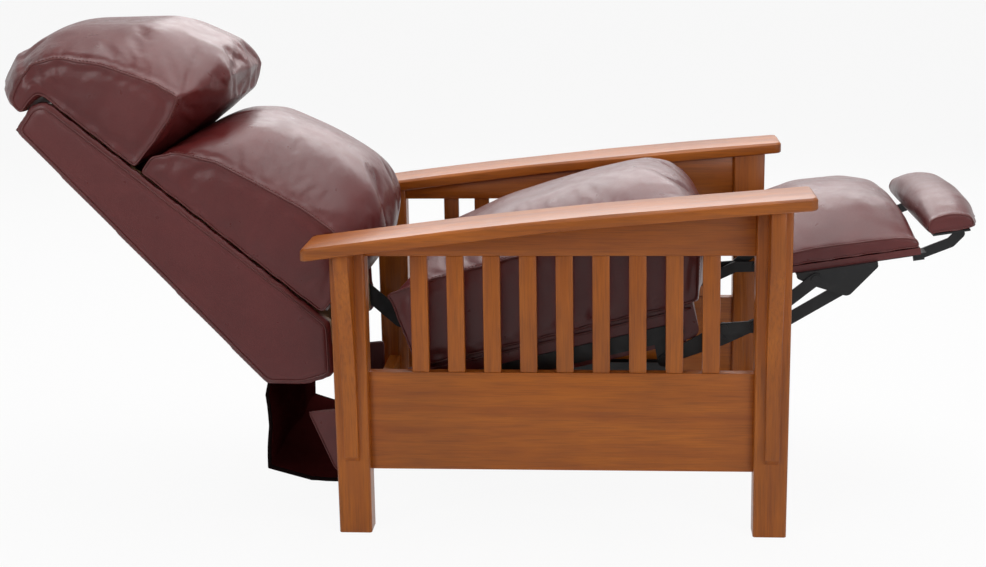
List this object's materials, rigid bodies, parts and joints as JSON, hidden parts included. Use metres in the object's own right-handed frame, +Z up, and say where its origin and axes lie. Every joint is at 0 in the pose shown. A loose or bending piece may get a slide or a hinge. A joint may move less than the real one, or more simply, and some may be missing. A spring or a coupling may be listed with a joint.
{
  "type": "mission reclining armchair",
  "caption": "Reclining armchair with a slatted wooden frame, bowed arms, stuffed leather seat, lumbar cushion, head pillow and a linked footrest, stored laid back.",
  "frame": {"origin": "on the floor, at the middle of the overall length and width of the chair as stored, laid back with its footrest up", "axes": "+X forward, the way a sitter faces; +Y to the left of the sitter; +Z up"},
  "size_m": [1.8224, 0.802, 0.9267],
  "materials": {
    "stained_wood": "satin",
    "frame_wood": "matte",
    "stuffed_leather": "satin",
    "leather": "satin",
    "black_steel": "satin",
    "spring_steel": "satin"
  },
  "bodies": {
    "frame": {"front_post_right": "stained_wood", "front_post_left": "stained_wood", "rear_post_right": "stained_wood", "rear_post_left": "stained_wood", "arm_right": "stained_wood", "arm_left": "stained_wood", "upper_rail_right": "stained_wood", "upper_rail_left": "stained_wood", "lower_rail_right": "stained_wood", "lower_rail_left": "stained_wood", "slats_right": "stained_wood", "slats_left": "stained_wood", "front_corbel_right": "stained_wood", "front_corbel_left": "stained_wood", "rear_corbel_right": "stained_wood", "rear_corbel_left": "stained_wood", "base_channel_right": "black_steel", "base_channel_left": "black_steel", "front_stretcher": "stained_wood", "rear_stretcher": "stained_wood", "base_bolts": "black_steel", "base_cross_tube": "black_steel"},
    "front_swing": {"front_swing_link_right": "black_steel", "front_swing_link_left": "black_steel"},
    "rear_swing": {"rear_swing_link_right": "black_steel", "rear_swing_link_left": "black_steel"},
    "seat": {"seat_plate_right": "black_steel", "seat_plate_left": "black_steel", "seat_side_rail_right": "frame_wood", "seat_side_rail_left": "frame_wood", "seat_front_rail": "frame_wood", "seat_rear_rail": "frame_wood", "seat_springs": "spring_steel", "seat_cushion": "stuffed_leather"},
    "back": {"back_bracket_right": "black_steel", "back_bracket_left": "black_steel", "back_stile_right": "frame_wood", "back_stile_left": "frame_wood", "back_side_panel_right": "stuffed_leather", "back_side_panel_left": "stuffed_leather", "back_top_rail": "frame_wood", "back_bottom_rail": "frame_wood", "outside_back": "leather", "lumbar_cushion": "stuffed_leather", "head_pillow": "stuffed_leather", "rear_flap": "leather", "rear_gussets": "leather"},
    "drive_links": {"footrest_drive_links": "black_steel"},
    "long_links": {"long_link_right": "black_steel", "long_link_left": "black_steel"},
    "footrest_board": {"footrest_bracket_right": "black_steel", "footrest_bracket_left": "black_steel", "footrest_board": "frame_wood", "footrest_pad": "stuffed_leather"},
    "lift_links": {"lift_link_right": "black_steel", "lift_link_left": "black_steel"},
    "short_links": {"short_link_right": "black_steel", "short_link_left": "black_steel"},
    "flipper": {"flipper_bars": "black_steel", "flipper_pad": "stuffed_leather"}
  },
  "joints": [
    {"name": "recline", "type": "hinge", "parent": "frame", "child": "front_swing", "pos_m": [0.167, 0, 0.186], "axis": [0, 1, 0], "range_deg": [0, 19.36]},
    {"name": "rear_swing_pivot", "type": "hinge", "parent": "frame", "child": "rear_swing", "pos_m": [-0.0572, 0, 0.146], "axis": [0, 1, 0], "range_deg": [0, 17.22]},
    {"name": "seat_tilt", "type": "hinge", "parent": "front_swing", "child": "seat", "pos_m": [0.2872, 0, 0.29], "axis": [0, 1, 0], "range_deg": [-11.91, 0]},
    {"name": "back_tilt", "type": "hinge", "parent": "seat", "child": "back", "pos_m": [-0.2148, 0, 0.262], "axis": [0, 1, 0], "range_deg": [0, 21.55]},
    {"name": "footrest", "type": "hinge", "parent": "seat", "child": "drive_links", "pos_m": [0.335, 0, 0.3121], "axis": [0, 1, 0], "range_deg": [0, 66.82]},
    {"name": "long_link_pivot", "type": "hinge", "parent": "drive_links", "child": "long_links", "pos_m": [0.4414, 0, 0.3727], "axis": [0, 1, 0], "range_deg": [-126.31, 0]},
    {"name": "board_pivot", "type": "hinge", "parent": "long_links", "child": "footrest_board", "pos_m": [0.6036, 0, 0.464], "axis": [0, 1, 0], "range_deg": [0, 150.68]},
    {"name": "lift_link_pivot", "type": "hinge", "parent": "seat", "child": "lift_links", "pos_m": [0.4365, 0, 0.3488], "axis": [0, 1, 0], "range_deg": [0, 97.6]},
    {"name": "short_link_pivot", "type": "hinge", "parent": "lift_links", "child": "short_links", "pos_m": [0.5429, 0, 0.3777], "axis": [0, 1, 0], "range_deg": [-170.92, 0]},
    {"name": "flipper_pivot", "type": "hinge", "parent": "footrest_board", "child": "flipper", "pos_m": [0.79265, 0, 0.49659], "axis": [0, 1, 0], "range_deg": [0, 172.05]}
  ],
  "couplings": [
    {"joint": "rear_swing_pivot", "follows": "recline", "ratio": 0.88672},
    {"joint": "seat_tilt", "follows": "recline", "ratio": -0.61257},
    {"joint": "back_tilt", "follows": "recline", "ratio": 1.1106},
    {"joint": "long_link_pivot", "follows": "footrest", "ratio": -1.8896},
    {"joint": "board_pivot", "follows": "footrest", "ratio": 2.2543},
    {"joint": "lift_link_pivot", "follows": "footrest", "ratio": 1.46},
    {"joint": "short_link_pivot", "follows": "footrest", "ratio": -2.5572},
    {"joint": "flipper_pivot", "follows": "footrest", "ratio": 2.5742}
  ]
}
